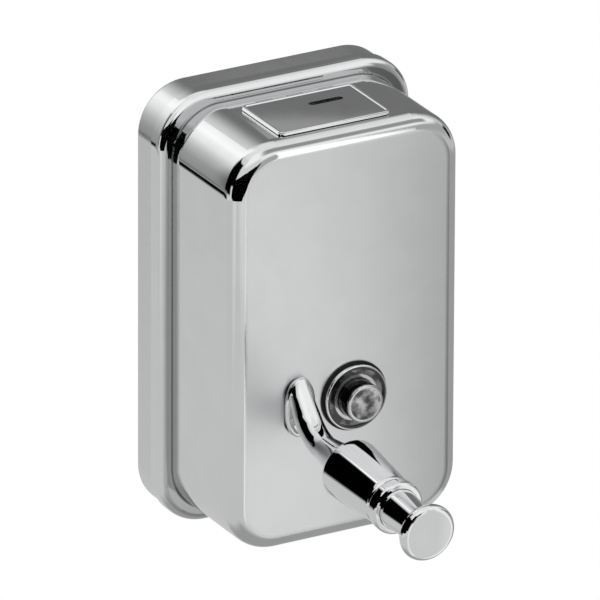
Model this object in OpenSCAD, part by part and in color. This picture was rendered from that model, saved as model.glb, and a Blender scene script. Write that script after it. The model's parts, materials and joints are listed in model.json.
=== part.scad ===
// Wall-hung liquid soap dispenser: a drawn metal tank on a wall bracket, with a
// hinged filler lid on top, a round sight glass and a push valve on the front.
// The wall is the plane y = 0, the front faces -Y, and z = 0 is mid-height.

/* [Tank] */
// Width of the front box
box_w = 118; // [100:1:140]
// Height of the front box
box_h = 199; // [170:1:240]
// Depth from the wall to the front face
body_d = 82; // [76:1:100]
// Corner radius of the front box
box_corner = 24; // [16:1:28]
// Radius of the rounded front edge
front_fillet = 8; // [5:0.5:10]
// Thickness of the tank's sheet
sheet = 1; // [0.8:0.1:1.2]
// How far the skirt stands out from the box
step_out = 6; // [6:0.5:9]
// Convex radius of the skirt's shoulder
step_convex = 4; // [3:0.25:4.5]
// Flat ledge between the shoulder and the box
step_ledge = 1; // [0.5:0.25:1.25]
// Corner radius of the skirt
skirt_corner = 24.5; // [20:0.5:28]
// Straight part of the skirt
skirt_len = 4.5; // [4:0.5:8]
// Depth of the rear pan that shows behind the skirt
pan_show = 16.5; // [14:0.5:20]
// Length of the pan's wall inside the skirt
pan_lap = 4; // [3:0.25:4]
// Radius of the pan's rear edge
pan_edge = 3; // [2:0.5:5]
// Gap between pieces that are soldered or slipped together
fit_gap = 0.1; // [0.05:0.05:0.15]

/* [Wall bracket] */
// Width of the bracket plate
bracket_w = 76; // [70:1:84]
// Height of the bracket plate
bracket_h = 116; // [110:1:130]
// Thickness of the bracket plate
bracket_t = 1.5; // [1.2:0.1:2]
// Depth of the pan's recess for the bracket
recess_depth = 6; // [5.6:0.2:7]
// Clearance around the bracket in the recess
recess_gap = 1.5; // [1:0.25:3]
// Sideways spacing of the wall screws
screw_span_x = 50; // [40:1:56]
// Upright spacing of the wall screws
screw_span_z = 84; // [80:1:92]
// Wall screw hole diameter
screw_hole_d = 4.5; // [4:0.1:5.5]
// Width of a hook on the bracket
hook_w = 14; // [10:1:18]
// Sideways spacing of the two hooks
hook_span = 24; // [20:1:26]
// Thickness of the hanger strap on the pan
strap_t = 1.2; // [1:0.1:1.4]

/* [Filler lid] */
// Length of the lid along the width
lid_w = 57; // [54:1:62]
// Depth of the lid from front to rear
lid_d = 37.5; // [37:0.5:40]
// Distance from the front face to the lid's near edge
lid_setback = 7.5; // [7:0.5:11]
// Sideways place of the lid
lid_x = -2; // [-4:0.5:4]
// Thickness of the lid plate
lid_t = 0.9; // [0.8:0.1:1.2]
// Height of the lid's underside above the tank top
lid_rise = 0.6; // [0.5:0.05:0.8]
// Length of the filler opening along the width
filler_w = 46; // [40:1:47]
// Depth of the filler opening
filler_d = 27.5; // [26:0.5:28.5]
// Wall thickness of the filler collar
collar_t = 1.4; // [1:0.1:1.6]
// Depth of the filler collar below the tank top
collar_h = 8; // [7.5:0.5:10]
// Length of the key slot
slot_len = 17.5; // [14:0.5:18]
// Width of the key slot
slot_w = 3.6; // [3:0.1:4]
// Key slot centre to the right of the lid's middle
slot_x = 8.5; // [5:0.5:9]
// Key slot centre behind the lid's middle
slot_back = 6; // [5:0.25:6]
// Radius of the hinge knuckles
knuckle_r = 0.8; // [0.7:0.05:1.4]
// Radius of the hinge pin
hinge_pin_r = 0.4; // [0.3:0.05:0.6]
// Length of one hinge knuckle
knuckle_len = 8; // [6:0.5:9]

/* [Sight glass] */
// Sideways place of the sight glass
glass_x = 3.5; // [0:0.5:4]
// Height of the sight glass centre
glass_z = -30.5; // [-36:0.5:-24]
// Radius of the rubber ring under the bezel
glass_gasket_r = 16.7; // [16.5:0.1:18]
// Outer radius of the bezel
bezel_r = 15.7; // [15.5:0.1:16.4]
// How far the bezel stands out from the front face
bezel_out = 3.4; // [3:0.1:4]
// Width of the bezel's lip over the lens
bezel_lip = 1.8; // [1.5:0.1:2]
// Radius of the clear plug
plug_r = 9.3; // [8:0.1:10]
// How far the plug stands out from the front face
plug_out = 11.5; // [9:0.5:15]
// Wall thickness of the plug
plug_wall = 1.6; // [1.2:0.1:2]

/* [Push valve] */
// Sideways place of the valve
valve_x = -25; // [-30:0.5:-24]
// Height of the valve's flange
valve_z = -30; // [-36:0.5:-24]
// Half width of the oval flange
flange_r = 7.7; // [7:0.1:8]
// Half height of the oval flange
flange_half = 14.3; // [13:0.1:17]
// Thickness of the oval flange
flange_t = 2.4; // [2:0.1:3]
// Thickness of rubber gaskets on the front face
gasket_t = 0.8; // [0.6:0.1:1]
// Radius of the swan neck where it leaves the flange
neck_root_r = 4.5; // [4:0.1:5]
// Radius of the swan neck in its bend
neck_r = 6.2; // [5.6:0.1:6.8]
// Radius of the neck's bend along its centre line
neck_bend = 15; // [12:0.5:18]
// Distance from the flange height down to the barrel's axis
neck_drop = 12.5; // [12:0.5:18]
// Downward tilt of the barrel in degrees
barrel_tilt = 3; // [0:0.5:5]
// Distance from the front face to the barrel's shoulder
shoulder_out = 49.5; // [44:0.5:52]
// Radius of the barrel at its shoulder
shoulder_r = 14.75; // [13:0.25:16]
// Distance from the front face to the barrel's front end
barrel_out = 89.5; // [85:0.5:92]
// Radius of the barrel at its front end
barrel_tip_r = 11.8; // [11.7:0.1:12.4]
// Radius of the ring collar
ring_r = 12.7; // [12.5:0.1:13.2]
// Length of the ring collar past the barrel
ring_len = 3.4; // [3:0.1:5]
// Radius of the plunger where it leaves the ring collar
stem_root_r = 9.8; // [9.2:0.1:9.9]
// Radius of the plunger at the button
stem_tip_r = 7.7; // [6.5:0.1:8.5]
// Distance from the front face to the button's face
button_out = 121; // [114:0.5:124]
// Radius of the push button
button_r = 13.5; // [11:0.25:14]
// Thickness of the push button
button_t = 7; // [5:0.25:8]
// Stroke of the push button
stroke = 10; // [6:0.5:10]
// Radius of the pump chamber
chamber_r = 7.5; // [7:0.1:8]
// Radius of the passage through the neck
passage_r = 2.5; // [2:0.1:3]
// Radius of the shank through the tank wall
shank_r = 6; // [5.5:0.1:6.5]
// Running clearance of sliding pieces
run_gap = 0.1; // [0.06:0.02:0.14]

/* [Intake] */
// Distance from the front face to the dip tube's axis
intake_back = 20; // [18:0.5:24]
// Outer radius of the dip tube
dip_r = 4; // [3.5:0.1:4.2]
// Wall thickness of the dip tube
dip_wall = 1.2; // [1:0.1:1.4]
// Gap from the dip tube's foot to the tank floor
dip_foot = 6; // [4:1:14]
// Radius of the check ball
ball_r = 3; // [2.8:0.1:3.1]
// Lift of the check ball
ball_lift = 2; // [1.5:0.1:2.5]

/* [Hidden] */
$fn = 72;

chrome = "#c9cbce";
steel = "#aeb2b6";
rubber = "#1d1e20";
clear = "#b9c4c6";
plastic = "#e8e8e4";
brass = "#c6a95a";
pad_grey = "#c4c6c6";
eps = 0.01;

// Corner centres of the box, and those that the skirt and the pan share
corner_x = box_w / 2 - box_corner;
corner_z = box_h / 2 - box_corner;
skirt_x = box_w / 2 + step_out - skirt_corner;
skirt_z = box_h / 2 + step_out - skirt_corner;
pan_corner = skirt_corner - sheet - fit_gap;
step_concave = step_out - step_convex - step_ledge;
skirt_front = pan_show + skirt_len;
ledge_v = skirt_front + step_convex;
step_front = ledge_v + step_concave;
front_flat = box_corner - front_fillet;
top_z = box_h / 2;

// Maps x, z and the distance from the wall onto the model's axes
module from_wall() {
    rotate([90, 0, 0]) children();
}

// Lays the x axis and the distance from the wall on a level plane
module on_level(z) {
    translate([0, 0, z]) mirror([0, 1, 0]) children();
}

// Carries a profile round a rectangle with round corners
module swept(across, up) {
    for (quarter = [0:3]) {
        reach = quarter % 2 == 0 ? [across, up] : [up, across];
        rotate([0, 0, 90 * quarter]) translate([reach[0], reach[1], 0]) {
            rotate_extrude(angle = 90) children();
            if (reach[1] > 0) rotate([90, 0, 0]) linear_extrude(height = 2 * reach[1]) children();
        }
    }
}

// Quarter of a ring that starts at the given angle
module bend(centre, outer, inner, start) {
    translate(centre) rotate(start) intersection() {
        difference() {
            circle(outer);
            circle(inner);
        }
        square(outer);
    }
}

// Rectangle with round corners about the origin
module round_rect(w, h, r) {
    square([w - 2 * r, h], center = true);
    square([w, h - 2 * r], center = true);
    for (sx = [-1, 1], sy = [-1, 1])
        translate([sx * (w / 2 - r), sy * (h / 2 - r)]) circle(r);
}

// Slot with round ends along x
module obround(length, width) {
    square([length - width, width], center = true);
    for (s = [-1, 1]) translate([s * (length - width) / 2, 0]) circle(width / 2);
}

// Flat ring between two rectangles with round corners
module rect_ring(w, h, r, inset) {
    difference() {
        round_rect(w, h, r);
        round_rect(w - 2 * inset, h - 2 * inset, r - inset);
    }
}

// Round bar along the distance from the wall
module rod(radius, from, to) {
    translate([0, 0, from]) cylinder(r = radius, h = to - from);
}

// Points along an arc
function arc(centre, r, from, to, steps = 8) = [for (i = [0:steps])
    centre + r * [cos(from + (to - from) * i / steps), sin(from + (to - from) * i / steps)]];

// Tank

// Sections of the drawn shell: distance from the corner's centre, distance from the wall
module skirt_section() {
    translate([skirt_corner - sheet, pan_show]) square([sheet, skirt_len]);
    bend([skirt_corner - step_convex, skirt_front], step_convex, step_convex - sheet, 0);
}

module box_section() {
    bend([box_corner + step_concave, step_front], step_concave + sheet, step_concave, 180);
    translate([box_corner - sheet, step_front]) square([sheet, body_d - front_fillet - step_front]);
    bend([front_flat, body_d - front_fillet], front_fillet, front_fillet - sheet, 0);
}

// Flat ledge between the skirt's shoulder and the foot of the box
module ledge() {
    outer = 2 * (step_out - step_convex);
    difference() {
        round_rect(box_w + outer, box_h + outer, skirt_corner - step_convex);
        round_rect(box_w + 2 * step_concave, box_h + 2 * step_concave, box_corner + step_concave);
    }
}

lid_v = body_d - lid_setback - lid_d / 2;
filler_corner = 3;
glass_hole_r = 13;
shank_hole_gap = 0.5;
shank_hole_r = shank_r + shank_hole_gap;

module front_shell() color(chrome) difference() {
    from_wall() {
        swept(skirt_x, skirt_z) skirt_section();
        swept(corner_x, corner_z) box_section();
        translate([0, 0, ledge_v - sheet]) linear_extrude(height = sheet) ledge();
        translate([0, 0, body_d - sheet]) linear_extrude(height = sheet)
            round_rect(box_w - 2 * front_fillet, box_h - 2 * front_fillet, front_flat);
    }
    on_level(top_z - 2 * sheet) translate([lid_x, lid_v]) linear_extrude(height = 3 * sheet)
        round_rect(filler_w, filler_d, filler_corner);
    from_wall() {
        translate([glass_x, glass_z]) rod(glass_hole_r, body_d - 2 * sheet, body_d + sheet);
        translate([valve_x, valve_z]) rod(shank_hole_r, body_d - 2 * sheet, body_d + sheet);
    }
}

// Section of the rear pan
module pan_section() {
    translate([pan_corner - sheet, pan_edge]) square([sheet, pan_show + pan_lap - pan_edge]);
    bend([pan_corner - pan_edge, pan_edge], pan_edge, pan_edge - sheet, 270);
}

bracket_z = 10;
hang_lift = 14;
recess_corner = 4;
recess_w = bracket_w + 2 * recess_gap;
recess_h = bracket_h + 2 * recess_gap + hang_lift;
recess_z = bracket_z - hang_lift / 2;
pan_flat_w = 2 * (skirt_x + pan_corner - pan_edge);
pan_flat_h = 2 * (skirt_z + pan_corner - pan_edge);

// The recess in the pan's back takes the bracket, with room below it to lift the tank off
module back_pan() color(steel) from_wall() difference() {
    union() {
        swept(skirt_x, skirt_z) pan_section();
        linear_extrude(height = sheet) round_rect(pan_flat_w, pan_flat_h, pan_corner - pan_edge);
        translate([0, recess_z]) linear_extrude(height = recess_depth + sheet)
            round_rect(recess_w + 2 * sheet, recess_h + 2 * sheet, recess_corner + sheet);
    }
    translate([0, recess_z, -sheet]) linear_extrude(height = recess_depth + sheet)
        round_rect(recess_w, recess_h, recess_corner);
}

// Wall bracket and the strap that hangs on it

hang_gap = 0.8;
hook_t = 1.2;
hook_rise = 10;
hook_up = 25;
hook_z = bracket_z + hook_up;
strap_v = bracket_t + hang_gap;
strap_h = 12;
strap_foot = 4;
strap_w = hook_span + hook_w + 4 * strap_foot;
hook_v = strap_v + strap_t + hang_gap / 2;

module hanger_strap() color(steel) from_wall() translate([0, hook_z + fit_gap, 0]) {
    translate([-strap_w / 2, 0, strap_v]) cube([strap_w, strap_h, strap_t]);
    for (s = [-1, 1]) translate([s * (strap_w - strap_foot) / 2 - strap_foot / 2, 0, strap_v])
        cube([strap_foot, strap_h, recess_depth - strap_v]);
}

module wall_bracket() color(steel) from_wall() {
    difference() {
        translate([0, bracket_z]) linear_extrude(height = bracket_t)
            round_rect(bracket_w, bracket_h, recess_corner);
        for (sx = [-1, 1], sz = [-1, 1])
            translate([sx * screw_span_x / 2, bracket_z + sz * screw_span_z / 2])
                rod(screw_hole_d / 2, -bracket_t, 2 * bracket_t);
        for (s = [-1, 1]) translate([s * hook_span / 2 - hook_w / 2, hook_z, -bracket_t])
            cube([hook_w, hook_rise + hook_t, 3 * bracket_t]);
    }
    for (s = [-1, 1]) translate([s * hook_span / 2 - hook_w / 2, hook_z - hook_t, bracket_t]) {
        cube([hook_w, hook_t, hook_v + hook_t - bracket_t]);
        translate([0, 0, hook_v - bracket_t]) cube([hook_w, hook_t + hook_rise, hook_t]);
    }
}

// Filler opening, lid and latch

flange_drop = 1.4;
flange_reach = 2.2;

bolt_w = 6;
bolt_t = 2;
bolt_up = 3;
bolt_z = top_z - collar_h + bolt_up;
bolt_gap = 0.4;
latch_v = lid_v - slot_back;
collar_w = filler_w - 2 * fit_gap;
collar_d = filler_d - 2 * fit_gap;
collar_wall_x = collar_w / 2 - collar_t;

// Moves the lid's pieces to the lid's place along the width
module at_lid() {
    translate([lid_x, 0, 0]) children();
}

module filler_collar() color(steel) at_lid() difference() {
    union() {
        on_level(top_z - collar_h) translate([0, lid_v]) linear_extrude(height = collar_h)
            rect_ring(collar_w, collar_d, filler_corner - fit_gap, collar_t);
        on_level(top_z - sheet - flange_drop) translate([0, lid_v])
            linear_extrude(height = flange_drop)
                rect_ring(filler_w + 2 * flange_reach, filler_d + 2 * flange_reach,
                    filler_corner + flange_reach, flange_reach + collar_t);
    }
    on_level(bolt_z - bolt_gap) translate([collar_wall_x - collar_t, latch_v - bolt_w / 2 - bolt_gap])
        linear_extrude(height = bolt_t + 2 * bolt_gap) square([3 * collar_t, bolt_w + 2 * bolt_gap]);
}

hinge_play = 0.05;
knuckle_play = 0.3;
hinge_gap = knuckle_r + fit_gap;
hinge_v = lid_v - lid_d / 2 - hinge_gap;
hinge_z = top_z + knuckle_r + fit_gap;
leaf_t = 0.35;
leaf_d = 1.9;
hinge_len = 5 * knuckle_len;

// Drilled knuckles along the hinge, at the given places
module knuckles(places) {
    for (i = places) translate([i * knuckle_len, -hinge_v, hinge_z]) rotate([0, 90, 0])
        difference() {
            cylinder(r = knuckle_r, h = knuckle_len - knuckle_play, center = true);
            cylinder(r = hinge_pin_r + hinge_play, h = 2 * knuckle_len, center = true);
        }
}

// Folded leaf: it lies on the tank's top under the lid's rear edge
module hinge_leaf() color(steel) at_lid() difference() {
    union() {
        on_level(top_z) translate([-hinge_len / 2, hinge_v + hinge_gap + knuckle_play])
            linear_extrude(height = leaf_t) square([hinge_len, leaf_d]);
        for (i = [-2, 0, 2])
            on_level(top_z) translate([i * knuckle_len - (knuckle_len - knuckle_play) / 2, hinge_v])
                linear_extrude(height = leaf_t)
                    square([knuckle_len - knuckle_play, hinge_gap + 2 * knuckle_play]);
        knuckles([-2, 0, 2]);
    }
    translate([0, -hinge_v, hinge_z]) rotate([0, 90, 0])
        cylinder(r = hinge_pin_r + hinge_play, h = 2 * hinge_len, center = true);
}

module hinge_pin() color(steel) at_lid() translate([0, -hinge_v, hinge_z]) rotate([0, 90, 0])
    cylinder(r = hinge_pin_r, h = hinge_len - knuckle_play, center = true);

lid_corner = 2.5;
lid_bevel = 0.5;
lid_lip = 0.3;
lid_lip_t = 0.9;
lid_z = top_z + lid_rise;

// Bevelled plate with a turned-down lip, which is cut away over the hinge's leaf, and two
// knuckles rolled from its rear edge
module lid_plate() color(chrome) at_lid() difference() {
    union() {
        translate([0, -lid_v, lid_z]) {
            swept(lid_w / 2 - lid_corner, lid_d / 2 - lid_corner) polygon([[0, 0],
                [lid_corner - lid_lip_t, 0], [lid_corner - lid_lip_t, -lid_lip], [lid_corner, -lid_lip],
                [lid_corner, lid_t - lid_bevel], [lid_corner - lid_bevel, lid_t], [0, lid_t]]);
            linear_extrude(height = lid_t)
                square([lid_w - 2 * lid_corner, lid_d - 2 * lid_corner], center = true);
        }
        for (i = [-1, 1])
            on_level(lid_z) translate([i * knuckle_len - (knuckle_len - knuckle_play) / 2, hinge_v])
                linear_extrude(height = lid_t - lid_bevel)
                    square([knuckle_len - knuckle_play, hinge_gap + lid_bevel]);
        knuckles([-1, 1]);
    }
    on_level(lid_z - lid_t) translate([slot_x, latch_v]) linear_extrude(height = 3 * lid_t)
        obround(slot_len, slot_w);
    on_level(lid_z - lid_t) translate([-hinge_len / 2 - knuckle_play, hinge_v + knuckle_r])
        linear_extrude(height = lid_t) square([hinge_len + 2 * knuckle_play, fit_gap + lid_lip_t]);
    translate([0, -hinge_v, hinge_z]) rotate([0, 90, 0])
        cylinder(r = hinge_pin_r + hinge_play, h = 2 * hinge_len, center = true);
}

gasket_reach = 2;
gasket_squeeze = 0.1;

module lid_gasket() color(rubber) at_lid() on_level(top_z + gasket_squeeze) translate([0, lid_v])
    linear_extrude(height = lid_rise - gasket_squeeze)
        rect_ring(filler_w + 2 * gasket_reach, filler_d + 2 * gasket_reach,
            filler_corner + gasket_reach, gasket_reach + collar_t);

guide_wall = 1.2;
guide_end = 1;
guide_right = collar_wall_x - guide_end;
guide_left = slot_x - slot_len / 2 - 2 * guide_wall;
guide_bottom = bolt_z - guide_wall;
bolt_play = 0.2;

// Channel under the lid that carries the bolt, open above it for the key
module latch_guide() color(steel) at_lid() difference() {
    on_level(guide_bottom) translate([guide_left, latch_v - bolt_w / 2 - bolt_play - guide_wall])
        linear_extrude(height = lid_z - guide_bottom)
            square([guide_right - guide_left, bolt_w + 2 * bolt_play + 2 * guide_wall]);
    on_level(bolt_z - bolt_play) translate([guide_left - guide_wall, latch_v - bolt_w / 2 - bolt_play])
        linear_extrude(height = bolt_t + 2 * bolt_play)
            square([guide_right - guide_left + 2 * guide_wall, bolt_w + 2 * bolt_play]);
    on_level(bolt_z) translate([slot_x, latch_v]) linear_extrude(height = lid_z - bolt_z + lid_t)
        obround(slot_len, slot_w);
}

lug_w = 3;
lug_clear = 0.8;
bolt_left = slot_x - slot_len / 2;
bolt_right = collar_wall_x - bolt_gap;
lug_x = bolt_left + slot_w / 2;

// Withdrawn, so that the lid is free; it slides to the right into the collar's slot
module latch_bolt() color(steel) at_lid() {
    on_level(bolt_z) translate([bolt_left, latch_v - bolt_w / 2]) linear_extrude(height = bolt_t)
        square([bolt_right - bolt_left, bolt_w]);
    on_level(bolt_z + bolt_t / 2) translate([lug_x, latch_v - lug_w / 2])
        linear_extrude(height = lid_z - bolt_z - bolt_t / 2 - lug_clear) square(lug_w);
}

// Sight glass, turned about its own axis

glass_seat = body_d + gasket_t;
bezel_tail_gap = 0.3;
bezel_tail_r = glass_hole_r - bezel_tail_gap;
bezel_tail_wall = 1.7;
bezel_tail = 9;
bezel_floor = 0.9;
bezel_rim = 1;
lip_t = 0.8;
lip_round = 0.6;
lip_v = body_d + bezel_out;
lens_r = bezel_r - bezel_rim - fit_gap;
lens_seal_t = 0.3;
lens_back = glass_seat + bezel_floor + lens_seal_t;
plug_face = 1.8;
plug_round = 1.2;
inner_nut_r = 15.2;
inner_washer_t = 1;
inner_nut_t = 5;

// Turns a section of radius and distance from the wall about the glass's axis
module turned_glass() {
    from_wall() translate([glass_x, glass_z]) rotate_extrude() children();
}

module window_gasket() color(rubber) turned_glass()
    translate([glass_hole_r, body_d]) square([glass_gasket_r - glass_hole_r, gasket_t]);

// Bezel with a tail through the tank wall and a lip that is rolled over the lens
module window_bezel() color(chrome) turned_glass() polygon(concat(
    [[bezel_tail_r - bezel_tail_wall, body_d - bezel_tail], [bezel_tail_r, body_d - bezel_tail],
    [bezel_tail_r, glass_seat], [bezel_r, glass_seat]],
    arc([bezel_r - lip_round, lip_v - lip_round], lip_round, 0, 90, 5),
    [[bezel_r - bezel_lip, lip_v], [bezel_r - bezel_lip, lip_v - lip_t],
    [bezel_r - bezel_rim, lip_v - lip_t], [bezel_r - bezel_rim, glass_seat + bezel_floor],
    [bezel_tail_r - bezel_tail_wall, glass_seat + bezel_floor]]));

// Clear lens: a flange under the bezel's lip and a hollow plug that stands out
module window_lens() color(clear, 0.6) turned_glass() polygon(concat(
    [[plug_r - plug_wall, lens_back], [lens_r, lens_back],
    [lens_r, lip_v - lip_t], [plug_r, lip_v - lip_t]],
    arc([plug_r - plug_round, body_d + plug_out - plug_round], plug_round, 0, 90, 5),
    [[0, body_d + plug_out], [0, body_d + plug_out - plug_face],
    [plug_r - plug_wall, body_d + plug_out - plug_face]]));

// Flat rubber ring that shows dark through the lens's flange
module lens_seal() color(rubber) turned_glass() translate([plug_r - plug_wall, lens_back - lens_seal_t])
    square([lens_r - plug_r + plug_wall, lens_seal_t]);

module window_washer() color(rubber) turned_glass()
    translate([glass_hole_r, body_d - sheet - inner_washer_t])
        square([inner_nut_r - glass_hole_r, inner_washer_t]);

nut_notch = 2.5;

// Round nut with four spanner notches
module window_nut() color(brass) from_wall()
    translate([glass_x, glass_z, body_d - sheet - inner_washer_t - inner_nut_t]) difference() {
        cylinder(r = inner_nut_r, h = inner_nut_t);
        translate([0, 0, -eps]) cylinder(r = bezel_tail_r + hinge_play, h = inner_nut_t + 2 * eps);
        for (quarter = [0:3]) rotate([0, 0, 45 + 90 * quarter])
            translate([inner_nut_r - nut_notch / 2, -nut_notch / 2, -eps])
                cube([nut_notch, nut_notch, inner_nut_t + 2 * eps]);
    }

// Push valve: the origin is the flange's centre, the third axis leads away from the wall

valve_seat = body_d + gasket_t;
flange_edge = 1.5;
neck_angle = 52;
neck_rise = 7.5;
neck_from = valve_seat + flange_t / 4;
shoulder_v = body_d + shoulder_out;
neck_reach = shoulder_v - valve_seat + neck_bend * (sin(barrel_tilt) - sin(neck_angle));
neck_fall = neck_rise + neck_drop - neck_bend * (cos(barrel_tilt) - cos(neck_angle));
neck_turn = neck_angle - barrel_tilt;
neck_straight = (neck_fall * cos(barrel_tilt) - neck_reach * sin(barrel_tilt)) / sin(neck_turn);
bend_end = shoulder_v - (neck_reach - neck_straight * cos(neck_angle)) / cos(barrel_tilt);
shank_inset = 4;
shank_end = body_d - intake_back + shank_inset;

module at_valve() {
    from_wall() translate([valve_x, valve_z]) children();
}

// Puts the third axis on the barrel's axis, which tilts down from the shoulder's centre
module at_barrel() {
    at_valve() translate([0, -neck_drop, shoulder_v]) rotate([barrel_tilt, 0, 0])
        translate([0, 0, -shoulder_v]) children();
}

module valve_gasket() color(rubber) at_valve() translate([0, 0, body_d])
    linear_extrude(height = gasket_t) difference() {
        rotate(90) obround(2 * (flange_half - gasket_t), 2 * (flange_r - gasket_t));
        circle(shank_hole_r);
    }

// Section of the flange with a round front edge
module flange_section() {
    square([flange_r - flange_edge, flange_t]);
    translate([flange_r - flange_edge, 0]) square([flange_edge, flange_t - flange_edge]);
    translate([flange_r - flange_edge, flange_t - flange_edge]) intersection() {
        circle(flange_edge);
        square(flange_edge);
    }
}

// Straight and bent runs of the neck; each run is a hair wider than the one before it
neck_step = 0.05;

module neck_run(root, radius) {
    at_valve() translate([0, neck_rise, valve_seat]) rotate([neck_angle, 0, 0])
        translate([0, 0, -neck_rise]) cylinder(r1 = root, r2 = radius, h = neck_rise + neck_straight);
    at_barrel() translate([0, neck_bend, bend_end]) rotate([0, 90, 0]) rotate([0, 0, -90])
        rotate_extrude(angle = neck_turn) translate([neck_bend, 0]) circle(radius + neck_step);
}

barrel_v = body_d + barrel_out;
spigot_len = 3.2;
spigot_r = 11.2;
sleeve_bore_r = 10.6;
chamber_inset = 1;
chamber_back = shoulder_v - chamber_inset;
spring_room = 8;
piston_len = 5;
piston_back = chamber_back + stroke + spring_room;
sleeve_gap = 3;
sleeve_back = piston_back + piston_len + sleeve_gap;
flare_steps = 14;
flare_slope = 0.35;
rim_round = 1.2;
rim_sweep = 75;
outlet_in = 5.5;
outlet_v = chamber_back + outlet_in;
outlet_wall = 2.5;
outlet_depth = chamber_r + outlet_wall;
outlet_r = 4;
outlet_valve_r = 3;

// Outline of the barrel: it opens like a trumpet from the neck to the shoulder's round rim
function opened(t) = flare_slope * t + (1 - flare_slope) * (1 - sqrt(1 - t * t));
flare_r = neck_r + 2 * neck_step;
flare_end = [shoulder_r - rim_round, shoulder_v - rim_round];
barrel_outline = concat([[0, bend_end]],
    [for (i = [0:flare_steps]) let (t = i / flare_steps)
        [flare_r + (flare_end[0] - flare_r) * opened(t), bend_end + (flare_end[1] - bend_end) * t]],
    arc([flare_end[0], shoulder_v], rim_round, -rim_sweep, 0, 5),
    [[barrel_tip_r, barrel_v - spigot_len], [spigot_r, barrel_v - spigot_len],
    [spigot_r, barrel_v], [0, barrel_v]]);

// One casting: oval flange and shank, swan neck and tapered barrel
module valve_arm() color(chrome) difference() {
    union() {
        at_valve() {
            translate([0, 0, valve_seat]) swept(0, flange_half - flange_r) flange_section();
            rod(shank_r, shank_end, valve_seat + flange_t / 2);
        }
        difference() {
            neck_run(neck_root_r, neck_r);
            at_valve() translate([-flange_half, neck_rise - flange_half, neck_from - 2 * flange_half])
                cube(2 * flange_half);
        }
        at_barrel() rotate_extrude() polygon(barrel_outline);
    }
    difference() {
        neck_run(passage_r, passage_r);
        at_valve() translate([-flange_half, passage_r / 2, valve_seat - flange_half]) cube(2 * flange_half);
    }
    at_valve() rod(passage_r + 2 * neck_step, shank_end - sheet, valve_seat + neck_rise / tan(neck_angle));
    at_barrel() {
        rod(passage_r + 2 * neck_step, bend_end, chamber_back + sheet);
        rod(chamber_r, chamber_back, sleeve_back + sheet);
        rod(sleeve_bore_r, sleeve_back, barrel_v + sheet);
        translate([0, 0, outlet_v]) rotate([90, 0, 0]) {
            rod(outlet_valve_r, 0, outlet_depth + sheet);
            rod(outlet_r, outlet_depth, 2 * shoulder_r);
        }
    }
}

outlet_show = 0.5;
outlet_tip = shoulder_r + outlet_show;
outlet_bore_r = 2;

module outlet_insert() color(plastic) at_barrel() translate([0, 0, outlet_v]) rotate([90, 0, 0])
    difference() {
        rod(outlet_r - hinge_play, outlet_depth + hinge_play, outlet_tip);
        rod(outlet_bore_r, outlet_depth - sheet, outlet_tip + sheet);
    }

valve_disc_t = 2;
valve_slit = 0.3;

// Rubber disc with a slit that opens outwards
module outlet_valve() color(rubber) at_barrel() translate([0, 0, outlet_v]) rotate([90, 0, 0])
    difference() {
        rod(outlet_valve_r - hinge_play, outlet_depth - valve_disc_t, outlet_depth);
        translate([-outlet_bore_r / 2, -valve_slit / 2, outlet_depth - 2 * valve_disc_t])
            cube([outlet_bore_r, valve_slit, 3 * valve_disc_t]);
    }

shank_washer_r = 9;
shank_washer_t = 1.5;
shank_nut_r = 9.6;
shank_nut_t = 5;

module shank_washer() color(rubber) at_valve() difference() {
    rod(shank_washer_r, body_d - sheet - shank_washer_t, body_d - sheet);
    rod(shank_hole_r, body_d - sheet - 2 * shank_washer_t, body_d);
}

module shank_nut() color(brass) at_valve()
    translate([0, 0, body_d - sheet - shank_washer_t - shank_nut_t]) difference() {
        rotate([0, 0, 30]) cylinder(r = shank_nut_r, h = shank_nut_t, $fn = 6);
        translate([0, 0, -eps]) cylinder(r = shank_r + hinge_play, h = shank_nut_t + 2 * eps);
    }

// Intake with a ball check valve, on the shank's inner end

elbow_v = body_d - intake_back;
elbow_wall = 2.3;
cage_gap = 0.4;
cage_wall = 3;
cage_r = ball_r + cage_gap;
elbow_r = cage_r + cage_wall;
seat_r = 2;
seat_drop = 16;
seat_len = 3;
socket_len = 5;
socket_depth = 6;
ball_drop = seat_drop - sqrt(ball_r * ball_r - seat_r * seat_r) - hinge_play;
stop_r = 0.7;
stop_inset = 0.5;
stop_drop = ball_drop - ball_r - ball_lift - stop_r - fit_gap;

// Upright bar through the dip tube's axis, measured down from the shank's height
module drop_rod(radius, from, to) {
    at_valve() translate([0, 0, elbow_v]) rotate([90, 0, 0]) rod(radius, from, to);
}

module intake_elbow() color(plastic) difference() {
    union() {
        at_valve() rod(shank_r + elbow_wall, elbow_v - elbow_r - sheet, shank_end + socket_depth);
        drop_rod(elbow_r, 0, seat_drop + seat_len + socket_len);
    }
    at_valve() {
        rod(shank_r + hinge_play, shank_end, shank_end + 2 * socket_depth);
        rod(passage_r, elbow_v, shank_end + sheet);
    }
    drop_rod(cage_r, -cage_r, seat_drop);
    drop_rod(seat_r, seat_drop - sheet, seat_drop + seat_len + sheet);
    drop_rod(dip_r + hinge_play, seat_drop + seat_len, seat_drop + seat_len + 2 * socket_len);
    at_valve() translate([0, -stop_drop, elbow_v]) rotate([0, 90, 0])
        cylinder(r = stop_r + hinge_play / 2, h = 3 * elbow_r, center = true);
}

module check_ball() color(steel) at_valve() translate([0, -ball_drop, elbow_v]) sphere(ball_r);

module ball_stop_pin() color(steel) at_valve() translate([0, -stop_drop, elbow_v])
    rotate([0, 90, 0]) cylinder(r = stop_r, h = 2 * (elbow_r - stop_inset), center = true);

dip_end = valve_z + top_z - sheet - dip_foot;

module dip_tube() color(plastic) difference() {
    drop_rod(dip_r, seat_drop + seat_len + fit_gap, dip_end);
    drop_rod(dip_r - dip_wall, seat_drop, dip_end + sheet);
}

// Plunger

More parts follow.
